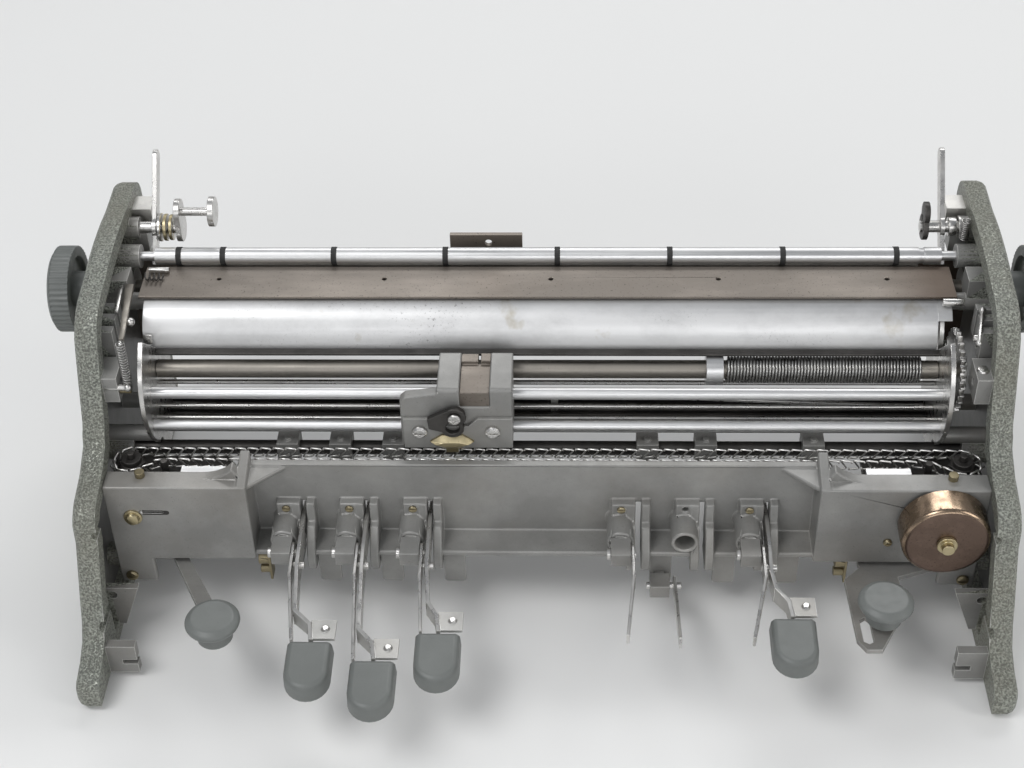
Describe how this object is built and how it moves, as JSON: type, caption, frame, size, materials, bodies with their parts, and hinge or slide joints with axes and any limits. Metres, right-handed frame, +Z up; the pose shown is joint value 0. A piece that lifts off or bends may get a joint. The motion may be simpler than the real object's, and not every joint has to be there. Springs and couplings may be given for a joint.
{
  "type": "braille_writer",
  "caption": "Manual braille writer shown stripped of its covers: two cast side frames, keys on pivoted levers, chain-driven carriage on rods, spring tube, paper roller, knobs and bell.",
  "frame": {"origin": "middle of the underside of the rubber feet's box, on the table", "axes": "+X along the machine to the typist's right, +Y to the rear, +Z up"},
  "size_m": [0.4174, 0.2141, 0.15],
  "materials": {
    "hammertone": "greenish-grey hammered paint, semi-gloss",
    "casting": "grey painted casting, satin",
    "bright_aluminium": "bright drawn aluminium, lightly brushed",
    "steel": "nickel-plated steel, bright",
    "dark_steel": "darkened steel, dull",
    "brass": "brass, satin",
    "brown_sheet": "warm grey-brown sheet, dull",
    "warm_tube": "warm grey tube, satin",
    "plastic": "blue-grey moulded plastic, matt",
    "rubber": "black rubber, dull",
    "bell_metal": "copper-coloured plated gong, polished"
  },
  "bodies": {
    "chassis": {"left_side_frame": "hammertone", "right_side_frame": "hammertone", "rubber_feet": "rubber", "front_frame": "casting", "frame_screws": "brass", "lever_tabs": "casting", "stop_pins": "brass", "chain_shelf": "dark_steel", "chain_guards": "bright_aluminium", "ladder_chain": "steel", "left_end_plate": "steel", "right_end_plate": "steel", "front_carriage_rod": "bright_aluminium", "rear_carriage_rod": "bright_aluminium", "thin_rods": "steel", "flat_rail": "dark_steel", "cross_shaft": "dark_steel", "shaft_clamps": "casting", "dot_bars": "dark_steel", "long_spring": "steel", "tension_spring": "steel", "lever_spring": "steel", "paper_table": "brown_sheet", "paper_guide": "bright_aluminium", "rear_plate": "brown_sheet", "pivot_blocks": "casting", "pivot_pins": "steel", "button_springs": "steel", "bell_gong": "bell_metal", "bell_stud": "brass"},
    "carriage": {"carriage_body": "casting", "carriage_plate": "casting", "chain_clamp": "brass", "stylus_block": "brown_sheet", "carriage_screws": "steel"},
    "carriage_latch": {"carriage_lever": "dark_steel"},
    "left_sprocket": {"left_sprocket": "dark_steel"},
    "right_sprocket": {"right_sprocket": "dark_steel"},
    "spring_tube": {"spring_tube": "warm_tube", "tube_collar": "bright_aluminium", "tube_gear": "steel"},
    "key_1": {"key_lever_1": "steel", "key_cap_1": "plastic"},
    "key_2": {"key_lever_2": "steel", "key_cap_2": "plastic"},
    "key_3": {"key_lever_3": "steel", "key_cap_3": "plastic"},
    "key_6": {"key_lever_6": "steel", "key_cap_6": "plastic"},
    "upper_space_lever": {"upper_space_lever": "steel"},
    "lower_space_lever": {"lower_space_lever": "steel"},
    "line_space_key": {"line_space_key": "casting"},
    "back_space_key": {"back_space_key": "casting"},
    "paper_drum": {"paper_drum": "warm_tube", "left_knob": "plastic", "right_knob": "plastic"},
    "feed_roller": {"feed_roller": "bright_aluminium", "roller_rings": "rubber"},
    "left_release_lever": {"left_release_lever": "steel"},
    "right_release_lever": {"right_release_lever": "steel"}
  },
  "joints": [
    {"name": "carriage_slide", "type": "slide", "parent": "chassis", "child": "carriage", "axis": [1, 0, 0], "range_m": [-0.098, 0.16]},
    {"name": "carriage_latch_turn", "type": "hinge", "parent": "carriage", "child": "carriage_latch", "pos_m": [-0.0355, 0, 0.0898], "axis": [0, 1, 0], "range_deg": [-12, 12], "stiffness_Nm_per_rad": 0.02},
    {"name": "left_sprocket_turn", "type": "hinge", "parent": "chassis", "child": "left_sprocket", "pos_m": [-0.16775, -0.00493, 0.068], "axis": [0, 0, 1], "range_deg": [-1440, 900]},
    {"name": "right_sprocket_turn", "type": "hinge", "parent": "chassis", "child": "right_sprocket", "pos_m": [0.16775, -0.00493, 0.068], "axis": [0, 0, 1], "range_deg": [-1440, 900]},
    {"name": "spring_tube_turn", "type": "hinge", "parent": "chassis", "child": "spring_tube", "pos_m": [0, 0.029, 0.09], "axis": [1, 0, 0], "range_deg": [-360, 580]},
    {"name": "key_1_press", "type": "hinge", "parent": "chassis", "child": "key_1", "pos_m": [0, -0.03, 0.0424], "axis": [1, 0, 0], "range_deg": [0, 8], "stiffness_Nm_per_rad": 0.4, "springref_deg": -8.59},
    {"name": "key_2_press", "type": "hinge", "parent": "chassis", "child": "key_2", "pos_m": [0, -0.03, 0.0424], "axis": [1, 0, 0], "range_deg": [0, 8], "stiffness_Nm_per_rad": 0.4, "springref_deg": -8.59},
    {"name": "key_3_press", "type": "hinge", "parent": "chassis", "child": "key_3", "pos_m": [0, -0.03, 0.0424], "axis": [1, 0, 0], "range_deg": [0, 8], "stiffness_Nm_per_rad": 0.4, "springref_deg": -8.59},
    {"name": "key_6_press", "type": "hinge", "parent": "chassis", "child": "key_6", "pos_m": [0, -0.03, 0.0424], "axis": [1, 0, 0], "range_deg": [0, 8], "stiffness_Nm_per_rad": 0.4, "springref_deg": -8.59},
    {"name": "upper_space_lever_press", "type": "hinge", "parent": "chassis", "child": "upper_space_lever", "pos_m": [0, -0.03, 0.0424], "axis": [1, 0, 0], "range_deg": [0, 8], "stiffness_Nm_per_rad": 0.05, "springref_deg": -8.59},
    {"name": "lower_space_lever_press", "type": "hinge", "parent": "chassis", "child": "lower_space_lever", "pos_m": [0.0475, -0.026, 0.02], "axis": [1, 0, 0], "range_deg": [0, 8], "stiffness_Nm_per_rad": 0.05, "springref_deg": -8.59},
    {"name": "line_space_key_press", "type": "hinge", "parent": "chassis", "child": "line_space_key", "pos_m": [-0.164, -0.014, 0.025], "axis": [1, 0, 0], "range_deg": [0, 8], "stiffness_Nm_per_rad": 0.4, "springref_deg": -8.59},
    {"name": "back_space_key_press", "type": "hinge", "parent": "chassis", "child": "back_space_key", "pos_m": [0.164, -0.014, 0.025], "axis": [1, 0, 0], "range_deg": [0, 8], "stiffness_Nm_per_rad": 0.4, "springref_deg": -8.59},
    {"name": "paper_drum_turn", "type": "hinge", "parent": "chassis", "child": "paper_drum", "pos_m": [0, 0.068, 0.1019], "axis": [1, 0, 0], "continuous": true},
    {"name": "feed_roller_turn", "type": "hinge", "parent": "chassis", "child": "feed_roller", "pos_m": [0, 0.0694, 0.118], "axis": [1, 0, 0], "continuous": true},
    {"name": "left_release_turn", "type": "hinge", "parent": "chassis", "child": "left_release_lever", "pos_m": [-0.17, 0.082, 0.124], "axis": [1, 0, 0], "range_deg": [0, 30]},
    {"name": "right_release_turn", "type": "hinge", "parent": "chassis", "child": "right_release_lever", "pos_m": [0.17, 0.082, 0.124], "axis": [1, 0, 0], "range_deg": [0, 30]}
  ],
  "couplings": [
    {"joint": "left_sprocket_turn", "follows": "carriage_slide", "rad_per_m": -153.07},
    {"joint": "right_sprocket_turn", "follows": "carriage_slide", "rad_per_m": -153.07},
    {"joint": "spring_tube_turn", "follows": "carriage_slide", "rad_per_m": 62},
    {"joint": "feed_roller_turn", "follows": "paper_drum_turn", "ratio": -3.0769},
    {"joint": "right_release_turn", "follows": "left_release_turn", "ratio": 1}
  ]
}
